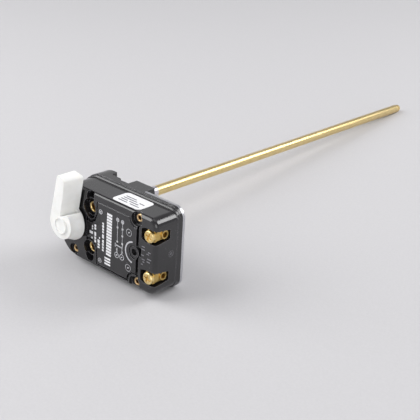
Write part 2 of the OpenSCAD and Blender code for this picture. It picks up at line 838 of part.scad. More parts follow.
// Terminal screw with a low head, a chamfered rim and a cross slot
module terminal_screw(side) {
    color("#d9b366")
    at_pole(side)
    difference() {
        union() {
            translate([screw_x, head_y, 0]) along_y()
                cylinder(d1 = screw_head_d - 0.8, d2 = screw_head_d, h = 0.4);
            rod_y(screw_x, 0, screw_head_d, head_y + 0.4, head_y + screw_head_t);
            rod_y(screw_x, 0, screw_d, head_y + 1, block_y - 0.4);
            rod_y(screw_x, 0, screw_d - 0.6, block_y - 0.5, barrel_y - barrel_bore / 2 - 0.3);
        }
        for (turn = [20, 110])
            translate([screw_x, head_y - 1, 0]) rotate([0, turn, 0])
                translate([-2.1, 0, -0.45]) cube([4.2, 1.9, 0.9]);
    }
}
module terminal_screw_upper() { terminal_screw(1); }
module terminal_screw_lower() { terminal_screw(-1); }

// Tubular rivet: rolled head in its recess, tube, and rolled flange at the rear
module rivet(i) {
    color("#b98a5c")
    in_case()
    translate([rivet_places[i][0], 0, rivet_places[i][1]])
    difference() {
        union() {
            rod_y(0, 0, rivet_head_d, rivet_seat_y - 0.6, rivet_seat_y);
            rod_y(0, 0, rivet_d, rivet_seat_y - 0.3, 0.3);
            rod_y(0, 0, rivet_head_d + 0.4, 0, 0.5);
        }
        rod_y(0, 0, rivet_bore, y_front, 2);
    }
}
module rivet_right_upper() { rivet(0); }
module rivet_right_lower() { rivet(1); }
module rivet_left_upper() { rivet(2); }
module rivet_left_lower() { rivet(3); }

// Dished bimetal snap disc of the thermal cut-out
module cutout_disc() {
    color("#a7a39a")
    in_case()
    translate([disc_x, disc_y, 0])
    intersection() {
        rod_y(0, 0, 2 * disc_r, -1, 2);
        translate([0, bow_r, 0])
            difference() {
                sphere(r = bow_r);
                sphere(r = bow_r - disc_t);
            }
    }
}

// Carrier that holds the disc and the seat of the reset spring
module disc_carrier() {
    color("#5b3a24")
    in_case() {
        difference() {
            rod_y(disc_x, 0, 2 * disc_r + 3, carrier_y, y_floor);
            rod_y(disc_x, 0, 2 * disc_r + 0.2, carrier_y + 0.8, disc_seat_y);
            rod_y(disc_x, 0, 2 * disc_r - 1.6, disc_seat_y - 1, y_floor - 0.8);
            rod_y(disc_x, 0, 2 * disc_r - 2.4, carrier_y - 1, carrier_y + 2);
        }
        difference() {
            translate([button_x - seat_w + 2, seat_y, button_z - seat_h / 2]) cube([seat_w, seat_t, seat_h]);
            rod_y(button_x, button_z, button_d + 0.4, seat_y - 1, seat_y + 2);
        }
        for (z = [button_z - seat_h / 2, button_z + seat_h / 2 - seat_leg])
            translate([button_x - seat_w + 2, seat_y, z]) cube([seat_w, y_floor - seat_y, seat_leg]);
    }
}

// Insulating bar that the snap disc pushes towards the blades, with its pin and reset tongue
module trip_bar() {
    bar_y = blade_back + trip_travel + 0.3;
    tongue_y = seat_y + seat_t + trip_travel + slide_gap;
    color("#7a4a2a")
    in_case() {
        translate([trip_x - trip_w / 2, bar_y, -pole_z - 2]) cube([trip_w, 2, 2 * pole_z + 4]);
        translate([trip_x - trip_w / 2, tongue_y, button_z - 1.5])
            cube([button_x + 1.5 - trip_x + trip_w / 2, 1, 3]);
        translate([trip_x - trip_w / 2, bar_y, button_z - 1.5]) cube([trip_w, tongue_y + 1 - bar_y, 3]);
        rod_y(disc_x, 0, 2.4, tongue_y + 0.5, carrier_y + 0.6);
    }
}

// Reset button: a pin with a flange behind the front wall
module reset_button() {
    color("#1f1f21")
    in_case() {
        rod_y(button_x, button_z, button_d, y_front + button_recess, y_chamber + 0.5);
        rod_y(button_x, button_z, flange_d, y_chamber + 0.05, y_chamber + 0.05 + flange_t);
        rod_y(button_x, button_z, button_d - 1, y_chamber + 0.5, seat_y - 0.8);
    }
}

// Spring that returns the reset button
module reset_spring() {
    y0 = y_chamber + 0.05 + flange_t;
    color("#9da0a3")
    in_case()
    translate([button_x, y0, button_z]) coil_spring(2.1, 0.4, seat_y - y0, 4);
}

// Blank paper label on the top of the case
module blank_label() {
    r = 2.4;
    color("#f4f4f6")
    translate([label_x, label_y, half_h - case_drop])
    union() {
        translate([r, 0, 0]) cube([label_w - 2 * r, label_h, label_t]);
        translate([0, r, 0]) cube([label_w, label_h - 2 * r, label_t]);
        for (x = [r, label_w - r], y = [r, label_h - r])
            translate([x, y, 0]) cylinder(r = r, h = label_t);
    }
}

front_housing();
rear_base();
back_plate();
stem_tube();
stem_plug();
stem_sleeve();
expansion_rod();
control_knob();
knob_spindle();
spindle_clip();
setting_nut();
rocker();
switch_bridge();
rocker_spring();
blade_upper();
blade_lower();
moving_contact_upper();
moving_contact_lower();
fixed_contact_upper();
fixed_contact_lower();
fixed_strip_upper();
fixed_strip_lower();
socket_upper();
socket_lower();
terminal_upper();
terminal_lower();
clamp_washer_upper();
clamp_washer_lower();
terminal_screw_upper();
terminal_screw_lower();
rivet_right_upper();
rivet_right_lower();
rivet_left_upper();
rivet_left_lower();
cutout_disc();
disc_carrier();
trip_bar();
reset_button();
reset_spring();
blank_label();
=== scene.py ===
"""Looks of a rod thermostat for a storage water heater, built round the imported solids.

Blender is given metres, and the tables here hold millimetres. The frame is the CAD's: origin on the
stem's axis at the rear face of the back plate, +X to the terminal end, +Y along the stem, +Z up.
"""

import math

import bmesh
import bpy
import numpy as np
from mathutils import Matrix, Vector


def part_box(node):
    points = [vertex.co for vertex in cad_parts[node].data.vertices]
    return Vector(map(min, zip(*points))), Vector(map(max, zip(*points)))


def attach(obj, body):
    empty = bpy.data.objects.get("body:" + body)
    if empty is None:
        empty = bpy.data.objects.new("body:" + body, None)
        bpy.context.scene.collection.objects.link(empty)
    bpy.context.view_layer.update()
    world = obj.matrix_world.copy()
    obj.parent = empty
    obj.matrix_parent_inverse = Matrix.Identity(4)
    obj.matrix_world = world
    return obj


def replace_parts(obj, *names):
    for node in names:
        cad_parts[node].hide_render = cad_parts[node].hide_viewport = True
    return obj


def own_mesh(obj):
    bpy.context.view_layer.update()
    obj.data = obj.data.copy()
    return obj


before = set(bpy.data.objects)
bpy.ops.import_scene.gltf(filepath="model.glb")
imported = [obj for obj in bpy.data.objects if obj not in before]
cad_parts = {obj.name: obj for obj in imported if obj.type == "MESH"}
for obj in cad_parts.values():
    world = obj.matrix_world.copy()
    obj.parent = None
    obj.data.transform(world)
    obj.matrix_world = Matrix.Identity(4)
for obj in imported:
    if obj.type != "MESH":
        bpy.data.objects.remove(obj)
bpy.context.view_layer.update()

MM = 0.001
TAU = 2 * math.pi
SIDES = ("upper", "lower")
RIVETS = ("right_upper", "right_lower", "left_upper", "left_lower")

# The CAD's faces that carry marks: front panel, terminal end and label
FRONT_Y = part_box("front_housing")[0].y / MM
END_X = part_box("front_housing")[1].x / MM
LABEL_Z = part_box("blank_label")[1].z / MM

# Fineness of the meshes
TURNED_SIDES = 96
FILLET_POINTS = 5
ARC_POINTS = 40
WIRE_SIDES = 12
COIL_STEPS = 32
EDGE_SEGMENTS = 3

SMOOTH_ANGLE = math.radians(40)
ROUNDED_ANGLE = math.radians(35)
FLAT_ANGLE = math.radians(0.5)
MERGE_DISTANCE = 1e-6


def axis_of(node):
    """X and Z of the middle of a CAD node."""
    low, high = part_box(node)
    return (low.x + high.x) / 2 / MM, (low.z + high.z) / 2 / MM


# Meshes

def outwards(mesh, merge=False):
    """Turns every face of a closed mesh outwards, and first merges its doubles where asked."""
    bm = bmesh.new()
    bm.from_mesh(mesh)
    if merge:
        bmesh.ops.remove_doubles(bm, verts=bm.verts, dist=MERGE_DISTANCE)
        bmesh.ops.dissolve_limit(bm, angle_limit=FLAT_ANGLE, verts=bm.verts, edges=bm.edges)
    bmesh.ops.recalc_face_normals(bm, faces=bm.faces)
    bm.to_mesh(mesh)
    bm.free()


def placed(name, mesh, body, smooth=True):
    """Puts a mesh into the scene at the origin, as a piece that rides on a body."""
    obj = bpy.data.objects.new(name, mesh)
    bpy.context.scene.collection.objects.link(obj)
    if smooth:
        mesh.shade_smooth()
        mesh.set_sharp_from_angle(angle=SMOOTH_ANGLE)
    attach(obj, body)
    return obj


def piece(name, shape, material, smooth=True):
    """A piece of the case from the points and the faces of a shape in millimetres."""
    points, faces = shape
    mesh = bpy.data.meshes.new(name)
    mesh.from_pydata((np.asarray(points, float) * MM).tolist(), [], faces)
    outwards(mesh)
    mesh.materials.append(material)
    return placed(name, mesh, "case", smooth)


def grid_faces(rows, columns, wrap_rows, wrap_columns):
    """Quads of a grid of points, row after row, closed round one or both of its directions."""
    r = np.arange(rows if wrap_rows else rows - 1)
    c = np.arange(columns if wrap_columns else columns - 1)
    r, c = (a.ravel() for a in np.meshgrid(r, c, indexing="ij"))
    down, right = (r + 1) % rows, (c + 1) % columns
    return np.stack([r * columns + c, r * columns + right, down * columns + right, down * columns + c], 1)


def fillet(outline, radius):
    """Rounds the inner corners of an open line of points.

    A corner B between A and C becomes the curve (1-t)^2 S + 2t(1-t) B + t^2 E, where S and E lie
    at the radius from B, or at 0.45 of the shorter side, on BA and BC.
    """
    p = np.asarray(outline, float)
    a, b, c = p[:-2], p[1:-1], p[2:]
    ab, cb = a - b, c - b
    la = np.linalg.norm(ab, axis=1, keepdims=True)
    lc = np.linalg.norm(cb, axis=1, keepdims=True)
    r = np.minimum(radius, 0.45 * np.minimum(la, lc))
    start, end = b + ab / la * r, b + cb / lc * r
    t = np.linspace(0, 1, FILLET_POINTS)[None, :, None]
    curves = (1 - t) ** 2 * start[:, None] + 2 * t * (1 - t) * b[:, None] + t ** 2 * end[:, None]
    return np.concatenate([p[:1], curves.reshape(-1, 2), p[-1:]])


def fillet_all(outline, radius):
    """Rounds every corner of a closed outline, in the way of fillet."""
    p = np.asarray(outline, float)
    return fillet(np.concatenate([p[-1:], p, p[:1]]), radius)[1:-1]


def turned(node, name, outline, centre, material, closed=False):
    """A piece turned round an axis along Y, which stands for a CAD node.

    P(u, v) = (x0 + r(v) cos u, y(v), z0 + r(v) sin u), for the outline's points (r, y). An open
    outline starts and ends on the axis, where each end is one pole; a closed one is a ring.
    """
    p = np.asarray(outline, float)
    x0, z0 = centre
    u = np.linspace(0, TAU, TURNED_SIDES, endpoint=False)
    off_axis = p if closed else p[1:-1]
    r, y = off_axis[:, :1], off_axis[:, 1:]
    x, z = x0 + r * np.cos(u), z0 + r * np.sin(u)
    points = np.stack([x, np.broadcast_to(y, x.shape), z], -1).reshape(-1, 3)
    faces = grid_faces(len(off_axis), TURNED_SIDES, closed, True).tolist()
    if not closed:
        first, last = len(points), len(points) + 1
        points = np.concatenate([points, [[x0, p[0, 1], z0], [x0, p[-1, 1], z0]]])
        k = np.arange(TURNED_SIDES)
        n = (k + 1) % TURNED_SIDES
        base = first - TURNED_SIDES
        faces += np.stack([np.full_like(k, first), n, k], 1).tolist()
        faces += np.stack([np.full_like(k, last), base + k, base + n], 1).tolist()
    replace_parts(piece(name, (points, faces), material), node)


def coil(node, mean_radius, wire_radius, turns):
    """A coil spring of round wire, which stands for a CAD node and fills its length along Y.

    Round the helix h(s) = (x0 + R cos s, y(s), z0 + R sin s), with y even from end to end, the wire's
    circle is h(s) + w (e(s) cos v + f(s) sin v), where e points away from the axis and f is square to
    e and to the helix. One flat face closes each end.
    """
    low, high = (corner.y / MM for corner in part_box(node))
    x0, z0 = axis_of(node)
    s = np.linspace(0, TAU * turns, COIL_STEPS * turns + 1)[:, None]
    rise = (high - low - 2 * wire_radius) / (TAU * turns)
    level = np.zeros_like(s)
    away = np.hstack([np.cos(s), level, np.sin(s)])
    helix = mean_radius * away + np.hstack([x0 + level, low + wire_radius + rise * s, z0 + level])
    along = np.hstack([-mean_radius * np.sin(s), rise + level, mean_radius * np.cos(s)])
    across = np.cross(along / np.linalg.norm(along, axis=1, keepdims=True), away)
    v = np.linspace(0, TAU, WIRE_SIDES, endpoint=False)[None, :, None]
    circles = helix[:, None] + wire_radius * (away[:, None] * np.cos(v) + across[:, None] * np.sin(v))
    faces = grid_faces(len(s), WIRE_SIDES, False, True).tolist()
    faces += [list(range(WIRE_SIDES)), [len(s) * WIRE_SIDES - 1 - k for k in range(WIRE_SIDES)]]
    obj = piece(node + "_coiled", (circles.reshape(-1, 3), faces), spring_steel)
    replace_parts(obj, node)
    return obj


def rounded(node, finish, width, body):
    """A merged copy of a CAD node whose edges a Bevel modifier rounds; it stands for the node."""
    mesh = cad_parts[node].data.copy()
    outwards(mesh, merge=True)
    obj = placed(f"{node}_{finish}", mesh, body)
    edges = obj.modifiers.new("edges", "BEVEL")
    edges.width = width * MM
    edges.segments = EDGE_SEGMENTS
    edges.limit_method = "ANGLE"
    edges.angle_limit = ROUNDED_ANGLE
    edges.harden_normals = True
    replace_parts(obj, node)


# Materials: each pattern's size is in millimetres. Real moulding grain, ink cover and paper tooth are
# under 0.1 mm, too fine to show, so they are drawn at 0.25 to 0.5 mm.

def linear(code):
    """An sRGB hex colour as the linear colour that a shader takes."""
    s = np.array([int(code[i:i + 2], 16) for i in (0, 2, 4)]) / 255
    value = np.where(s <= 0.04045, s / 12.92, ((s + 0.055) / 1.055) ** 2.4)
    return (*value.tolist(), 1.0)


def per(size_mm):
    """The scale at which a pattern repeats about once in a size."""
    return 1 / (size_mm * MM)


def add(tree, kind, inputs=(), stops=(), **settings):
    """Adds a node with its settings, a colour ramp's two stops of place and hex colour, and its inputs,
    which are given by name or in order and are each a value or a socket to link."""
    made = tree.nodes.new("ShaderNode" + kind)
    for key, value in settings.items():
        setattr(made, key, value)
    if stops:
        for element, (place, code) in zip(made.color_ramp.elements, stops):
            element.position, element.color = place, linear(code)
    for key, value in inputs.items() if isinstance(inputs, dict) else enumerate(inputs):
        if isinstance(value, bpy.types.NodeSocket):
            tree.links.new(value, made.inputs[key])
        else:
            made.inputs[key].default_value = value
    return made


def new_material(name):
    """A material with an empty tree, and the Object coordinates that its patterns read."""
    material = bpy.data.materials.new(name)
    material.use_nodes = True
    tree = material.node_tree
    tree.nodes.clear()
    return material, tree, add(tree, "TexCoord").outputs["Object"]


def shown(tree, shader):
    """Ends a tree with the shader that its surface shows."""
    add(tree, "OutputMaterial", {"Surface": shader.outputs[0]})


def eased_normal(tree, radius_mm, height, depth_mm):
    """A normal that rounds the edges by a small radius and carries a bump of a real depth."""
    edge = add(tree, "Bevel", {"Radius": radius_mm * MM}, samples=6).outputs[0]
    return add(tree, "Bump", {"Height": height, "Distance": depth_mm * MM, "Strength": 1.0,
                              "Normal": edge}).outputs[0]


def painted_edge_highlight(tree, radius_mm, patchy):
    """The mask of a painted highlight on edges: rises from 0 on flats to the patchy factor on edges, by how
    far a rounded normal turns there.
    """
    soft = add(tree, "Bevel", {"Radius": radius_mm * MM}, samples=6).outputs[0]
    true = add(tree, "NewGeometry").outputs["True Normal"]
    turn = add(tree, "VectorMath", (soft, true), operation="DOT_PRODUCT").outputs["Value"]
    edge = add(tree, "MapRange", (turn, 0.9, 1.0, 1.0, 0.0)).outputs[0]
    return add(tree, "Math", (edge, patchy), operation="MULTIPLY").outputs[0]


def black_moulding(name, gloss):
    """Phenolic compound pressed in a polished die: near black, with an even gloss and faint flow marks. Its
    edges are painted pale grey as a painted highlight, its corners and hollows are darkened as painted
    shade, and a few specks of dust lie on it."""
    flow_mm, grain_mm, dust_mm, shade_reach_mm = 7, 0.35, 2.6, 2.5
    flow_stretch, highlight_mm, edge_mm = 1.6, 0.22, 0.25
    material, tree, place = new_material(name)
    drawn = add(tree, "Mapping", {"Vector": place, "Scale": (1, 1, 1 / flow_stretch)}).outputs[0]
    flow = add(tree, "TexNoise", {"Vector": drawn, "Scale": per(flow_mm), "Detail": 4}).outputs["Fac"]
    grain = add(tree, "TexNoise", {"Vector": place, "Scale": per(grain_mm), "Detail": 2}).outputs["Fac"]
    specks = add(tree, "TexVoronoi", {"Vector": place, "Scale": per(dust_mm)}).outputs["Distance"]
    black = add(tree, "ValToRGB", (flow,), ((0.3, "1c1b1d"), (0.7, "242325"))).outputs[0]
    # Painted shade: the black is darkened to 060506 in corners, creases and hollows, by how closed in they
    # are
    open_air = add(tree, "AmbientOcclusion", {"Distance": shade_reach_mm * MM}, samples=8).outputs["AO"]
    unshaded_share = add(tree, "MapRange", (open_air, 0.25, 0.75, 0.0, 1.0)).outputs[0]
    shaded_black = add(tree, "Mix", {"Factor": unshaded_share, "A": linear("060506"), "B": black},
                data_type="RGBA").outputs[2]
    patchy = add(tree, "MapRange", (grain, 0.3, 0.7, 0.2, 1.0)).outputs[0]
    # Painted highlight: every edge is painted pale grey 96959a, unevenly along the grain
    highlit = add(tree, "Mix", {"Factor": painted_edge_highlight(tree, highlight_mm, patchy), "A": shaded_black,
                             "B": linear("96959a")}, data_type="RGBA").outputs[2]
    dust = add(tree, "MapRange", (specks, 0.03, 0.05, 0.7, 0.0)).outputs[0]
    dusty = add(tree, "Mix", {"Factor": dust, "A": highlit, "B": linear("b9b8ba")},
                data_type="RGBA").outputs[2]
    rough = add(tree, "MapRange", (flow, 0.3, 0.7, gloss - 0.04, gloss + 0.05)).outputs[0]
    shown(tree, add(tree, "BsdfPrincipled", {
        "Base Color": dusty, "Roughness": rough, "IOR": 1.6,
        "Normal": eased_normal(tree, edge_mm, grain, 0.003)}))
    return material


def white_moulding():
    """Urea compound pressed in a blasted die: warm white and satin, with a faint grain. A little light
    goes through it, which softens its shaded sides."""
    cloud_mm, grain_mm, edge_mm = 5, 0.3, 0.4
    material, tree, place = new_material("white_urea_moulding")
    cloud = add(tree, "TexNoise", {"Vector": place, "Scale": per(cloud_mm), "Detail": 3}).outputs["Fac"]
    grain = add(tree, "TexNoise", {"Vector": place, "Scale": per(grain_mm), "Detail": 2}).outputs["Fac"]
    white = add(tree, "ValToRGB", (cloud,), ((0.3, "ecece8"), (0.7, "f4f4f2"))).outputs[0]
    rough = add(tree, "MapRange", (grain, 0.3, 0.7, 0.32, 0.42)).outputs[0]
    shown(tree, add(tree, "BsdfPrincipled", {
        "Base Color": white, "Roughness": rough, "IOR": 1.5, "Subsurface Weight": 0.25,
        "Subsurface Scale": 0.0015, "Subsurface Radius": (1.0, 0.9, 0.8),
        "Normal": eased_normal(tree, edge_mm, grain, 0.003)}))
    return material


def metal(name, dark, pale, dull, rough, mark_mm, stretch=(1, 1, 1), depth_mm=0.002):
    """A metal whose tone, gloss and height vary along the marks that its making left, each about mark_mm
    wide and drawn out by its stretch, with dull spots some millimetres wide."""
    spot_mm, edge_mm = 6, 0.15
    material, tree, place = new_material(name)
    drawn = add(tree, "Mapping", {"Vector": place, "Scale": [1 / s for s in stretch]}).outputs[0]
    marks = add(tree, "TexNoise", {"Vector": drawn, "Scale": per(mark_mm), "Detail": 4}).outputs["Fac"]
    cloud = add(tree, "TexNoise", {"Vector": place, "Scale": per(spot_mm), "Detail": 3}).outputs["Fac"]
    tone = add(tree, "ValToRGB", (marks,), ((0.3, dark), (0.7, pale))).outputs[0]
    spots = add(tree, "MapRange", (cloud, 0.55, 0.8, 0.0, 0.35)).outputs[0]
    colour = add(tree, "Mix", {"Factor": spots, "A": tone, "B": linear(dull)}, data_type="RGBA").outputs[2]
    gloss = add(tree, "MapRange", (marks, 0.3, 0.7, rough - 0.05, rough + 0.07)).outputs[0]
    shown(tree, add(tree, "BsdfPrincipled", {
        "Base Color": colour, "Metallic": 1.0, "Roughness": gloss,
        "Normal": eased_normal(tree, edge_mm, marks, depth_mm)}))
    return material


def matt(name, first, second, rough, mark_mm, stretch=(1, 1, 1), edge_mm=0.05, depth_mm=0.004,
         cloud_mm=None):
    """A matt surface of two close tones with a fine tooth. The tones follow the tooth, or clouds of a
    size of their own."""
    material, tree, place = new_material(name)
    drawn = add(tree, "Mapping", {"Vector": place, "Scale": [1 / s for s in stretch]}).outputs[0]
    tooth = add(tree, "TexNoise", {"Vector": drawn, "Scale": per(mark_mm), "Detail": 3}).outputs["Fac"]
    cloud = tooth
    if cloud_mm:
        clouds = {"Vector": place, "Scale": per(cloud_mm), "Detail": 3}
        cloud = add(tree, "TexNoise", clouds).outputs["Fac"]
    colour = add(tree, "ValToRGB", (cloud,), (first, second)).outputs[0]
    gloss = add(tree, "MapRange", (tooth, 0.3, 0.7, *rough)).outputs[0]
    shown(tree, add(tree, "BsdfPrincipled", {
        "Base Color": colour, "Roughness": gloss, "Normal": eased_normal(tree, edge_mm, tooth, depth_mm)}))
    return material


def ink(name, thin, full):
    """Screen-printing ink: matt, with its colour thinner where the screen gave less of it."""
    return matt(name, (0.25, thin), (0.55, full), (0.45, 0.6), 0.5, edge_mm=0.02, depth_mm=0.002)


black_case = black_moulding("pressed_black_phenolic", 0.14)
black_base = black_moulding("pressed_black_phenolic_base", 0.2)
white_urea = white_moulding()

# Brass tube drawn through a die: fine lines that run the whole way along the stem
drawn_brass = metal("drawn_brass_tube", "d3b97c", "e8d4a0", "b0935a", 0.34, 0.25, (1, 160, 1))
# Brass cut on a lathe: bright, with small even marks
turned_brass = metal("turned_brass", "d8b268", "f6dea2", "9a7636", 0.26, 0.3)
# Brass upset in a heading die: soft dents a tenth of a millimetre deep break up its highlights
headed_brass = metal("cold_headed_brass", "dab668", "f8e6b2", "c79c4c", 0.36, 1.1, depth_mm=0.1)
# Brass strip, rolled and stamped: duller, with its marks along X. Its darker tone is painted shade for the
# terminals, which sit in shadow in their windows.
cut_brass = metal("stamped_brass", "bf9a52", "e0c680", "80622e", 0.36, 0.4, (5, 1, 1))
# Thin brass tube rolled over by a punch: a redder tone with tarnish
rivet_brass = metal("rolled_rivet_brass", "c8a06a", "f0d6aa", "80592c", 0.28, 0.3)
# Steel strip with bright zinc on it: pale blue grey, with the strip's rolling marks along X
zinc_steel = metal("zinc_plated_steel", "b4b5ba", "d6d6da", "85868c", 0.34, 0.5, (6, 1, 1))
# Nickel plate on a drawn sleeve: a warmer grey, with lines along the stem
sleeve_plate = metal("nickel_plated_sleeve", "c4c0c6", "e2dfe4", "9d9aa1", 0.3, 0.3, (1, 60, 1))
# Hard-drawn spring steel: dark grey with short lines along Y
spring_steel = metal("spring_steel", "6f7278", "9b9ea4", "4a4c52", 0.3, 0.3, (1, 8, 1))
# Silver contact rivets: near white
contact_silver = metal("contact_silver", "cfd0d4", "f0f0f2", "7d7e84", 0.28, 0.3)
# Rolled copper alloy for blades: a red metal with long marks along X
copper_blade = metal("rolled_copper_alloy", "b0714a", "d3976c", "6e4229", 0.32, 0.3, (10, 1, 1))
# Phenolic filled with fibre: matt brown with short pale fibres along X
brown_fibre = matt("brown_fibre_moulding", (0.35, "4a2f1f"), (0.75, "7a5638"), (0.45, 0.6), 0.4,
                   (4, 1, 1), edge_mm=0.15, depth_mm=0.01)
# Coated paper: near white, faintly cloudy, with a fine tooth
paper = matt("coated_label_paper", (0.3, "e9e9ea"), (0.7, "f0f0f1"), (0.42, 0.55), 0.25, cloud_mm=4)
white_ink = ink("white_screen_ink", "c9c9cd", "f2f2f4")
# The same white in thin lines, which print weaker
pale_ink = ink("thin_screen_ink", "9a9a9f", "c2c2c6")
grey_ink = ink("grey_label_ink", "85858d", "6c6c75")
# Raised tops of the black moulding, painted a dull grey as a painted highlight
highlit_tick_tops = ink("raised_tops_painted_highlight", "5c5b60", "7e7d83")

finishes = {
    black_case: ["front_housing", "reset_button"],
    black_base: ["rear_base"],
    white_urea: ["control_knob"],
    zinc_steel: ["back_plate", "knob_spindle", "rocker"],
    sleeve_plate: ["stem_sleeve"],
    drawn_brass: ["stem_tube"],
    turned_brass: ["stem_plug", "socket_upper", "socket_lower", "setting_nut"],
    headed_brass: ["terminal_screw_upper", "terminal_screw_lower"],
    cut_brass: ["terminal_upper", "terminal_lower", "clamp_washer_upper", "clamp_washer_lower",
                "fixed_strip_upper", "fixed_strip_lower"],
    rivet_brass: ["rivet_" + place for place in RIVETS],
    spring_steel: ["expansion_rod", "spindle_clip", "rocker_spring", "reset_spring", "cutout_disc"],
    contact_silver: ["moving_contact_upper", "moving_contact_lower", "fixed_contact_upper",
                     "fixed_contact_lower"],
    copper_blade: ["blade_upper", "blade_lower"],
    brown_fibre: ["switch_bridge", "trip_bar", "disc_carrier"],
    paper: ["blank_label"],
}
for material, nodes in finishes.items():
    for node in nodes:
        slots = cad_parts[node].data.materials
        slots.clear()
        slots.append(material)


# Turned pieces: each outline gives the radius and Y of its points

STEM_AXIS = (0, 0)
STEM_R = 3.0
SEAT_R = 2.8
BORE_R = 2.4
FLANGE_R = 4.5
TUBE_ROOT = -4.5
TUBE_END = 295.8
SLEEVE_R = 3.2
SLEEVE_END = 39.5
TIP_Y = 300
TIP_R = 1.4
NOSE_R = 2.6
CRISP = 0.12

tube = fillet_all([(SEAT_R, TUBE_ROOT), (SEAT_R, -2.5), (FLANGE_R, -2.5), (FLANGE_R, -1.5), (SEAT_R, -1.5),
                   (SEAT_R, SLEEVE_END), (STEM_R, SLEEVE_END), (STEM_R, TUBE_END), (BORE_R, TUBE_END),
                   (BORE_R, TUBE_ROOT)], CRISP)
turned("stem_tube", "stem_tube_drawn", tube, STEM_AXIS, drawn_brass, closed=True)

# The plug's nose is a quarter circle and a flat end
plug = fillet([(0, 289), (BORE_R, 289), (BORE_R, 295.9), (2.0, 295.9), (2.0, 296.4), (NOSE_R, 296.4)], 0.1)
dome = np.radians(np.linspace(0, 90, 9))
nose = np.stack([NOSE_R - TIP_R + TIP_R * np.cos(dome), TIP_Y - TIP_R + TIP_R * np.sin(dome)], 1)
turned("stem_plug", "stem_tip_turned", np.concatenate([plug, nose, [[0, TIP_Y]]]), STEM_AXIS, turned_brass)

sleeve = fillet_all([(SEAT_R, 0), (SLEEVE_R, 0), (SLEEVE_R, SLEEVE_END), (SEAT_R, SLEEVE_END)], CRISP)
turned("stem_sleeve", "stem_sleeve_plated", sleeve, STEM_AXIS, sleeve_plate, closed=True)

socket = fillet([(0, -8.4), (2.0, -8.4), (2.0, -16.8), (2.4, -17.2), (2.9, -17.2), (2.9, -7.2), (0, -7.2)],
                0.18)
for side in SIDES:
    node = f"socket_{side}"
    turned(node, node + "_turned", socket, axis_of(node), turned_brass)

rivet = fillet_all([(1.1, -17.7), (1.35, -18.0), (1.9, -18.0), (2.2, -17.7), (2.2, -17.4), (1.7, -17.4),
                    (1.7, 0), (2.4, 0), (2.4, 0.2), (1.9, 0.5), (1.35, 0.5), (1.1, 0.2)], 0.2)
for place in RIVETS:
    node = f"rivet_{place}"
    turned(node, node + "_rolled", rivet, axis_of(node), rivet_brass, closed=True)


# Springs: mean radius, radius of the wire, and turns

coil("rocker_spring", 2.2, 0.25, 4)
reset_coil = coil("reset_spring", 2.1, 0.2, 4)
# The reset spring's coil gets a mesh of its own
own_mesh(reset_coil)


# Pieces whose pressed or moulded edges are round, with the width that is taken off

rounded("control_knob", "rounded", 0.45, "selector")
for side in SIDES:
    rounded(f"terminal_screw_{side}", "headed", 0.16, f"clamp_{side}")
    rounded(f"clamp_washer_{side}", "pressed", 0.12, f"clamp_{side}")
    rounded(f"terminal_{side}", "pressed", 0.15, "case")


# Printed and moulded marks

INK = 0.03
SUNK = 0.01
TICK_RISE = 0.1
END_TICK_RISE = 0.08

# The leaning column of bars: X of the first bar, its top, the step from bar to bar in X and in Z
BIG_BARS = 15
BIG_BAR_X, BIG_BAR_TOP = 27.65, 12.4
BIG_BAR_LEAN, BIG_BAR_STEP = 0.035, 1.62
BIG_BAR_WIDTH, BIG_BAR_HEIGHT, BIG_BAR_SLANT = 3.8, 1.24, 0.05

# X and width of a column of short bars, and the top and the foot of each of its bars
SHORT_BARS = (
    (22.8, 1.3, ((5.8, 4.8), (4.4, 3.0), (2.6, 1.4), (1.0, -0.1), (-0.9, -3.1), (-4.0, -5.5), (-5.9, -7.3),
                 (-7.7, -8.9), (-9.3, -10.4))),
    (20.1, 0.7, ((-3.3, -4.4),)),
    (19.5, 1.6, ((-5.0, -6.8), (-7.2, -8.4), (-8.8, -9.8))),
    (16.8, 1.3, ((2.7, 1.4), (1.0, -0.2), (-1.6, -3.8), (-4.2, -5.6), (-6.0, -7.5))),
    (14.6, 0.9, ((1.4, 0.5), (0.1, -0.8))),
    (13.6, 2.6, ((-2.0, -3.5),)),
    (14.3, 1.0, ((-5.2, -6.1),)),
    (26.4, 4.4, ((-12.9, -13.9), (-14.5, -15.5), (-16.1, -17.1))),
)

# X and Z of the square dots on the switch diagram's two lines
DOTS = ((33.6, 7.0), (37.25, 7.1), (37.25, 3.3), (33.6, -0.9), (37.3, -0.9), (33.4, -5.4), (37.2, -5.5))
DOT_SIZE = 1.0

# X and Z of a ring's middle, its radius, its line width, and half the length of the bar in it
RINGS = (
    (42.0, 7.1, 1.85, 0.22, 0.5), (41.9, -12.6, 1.85, 0.22, 0.6), (20.8, 11.2, 1.1, 0.4, 0.5),
    (20.5, -16.5, 1.15, 0.3, 0.4), (33.6, 11.2, 0.85, 0.5, 0.3), (37.25, 11.1, 0.85, 0.5, 0.3),
    (33.3, -8.6, 1.45, 0.35, 0.6), (37.1, -8.5, 1.5, 0.35, 0.5),
)
RING_BAR_RISE, RING_BAR_WIDTH = 0.3, 0.6

# The switch diagram's straight lines: X and Z of one end, X and Z of the other, and the width
DIAGRAM_LINES = (
    (33.6, 10.0, 33.6, -1.4, 0.26), (33.5, -4.4, 33.5, -7.0, 0.6),
    (37.25, 10.0, 37.25, -1.4, 0.26), (37.15, -4.4, 37.15, -7.0, 0.6),
    (32.1, -3.0, 37.2, -3.3, 0.6), (32.2, -2.1, 32.2, -4.2, 0.6), (37.4, -1.4, 37.2, -4.8, 0.4),
)

# The arc beside the button: X and Z of its middle, radius, first and last angle, and width
BUTTON_ARC = (45.55, -2.85, 5.75, 98, 261)
BUTTON_ARC_WIDTH = 0.8

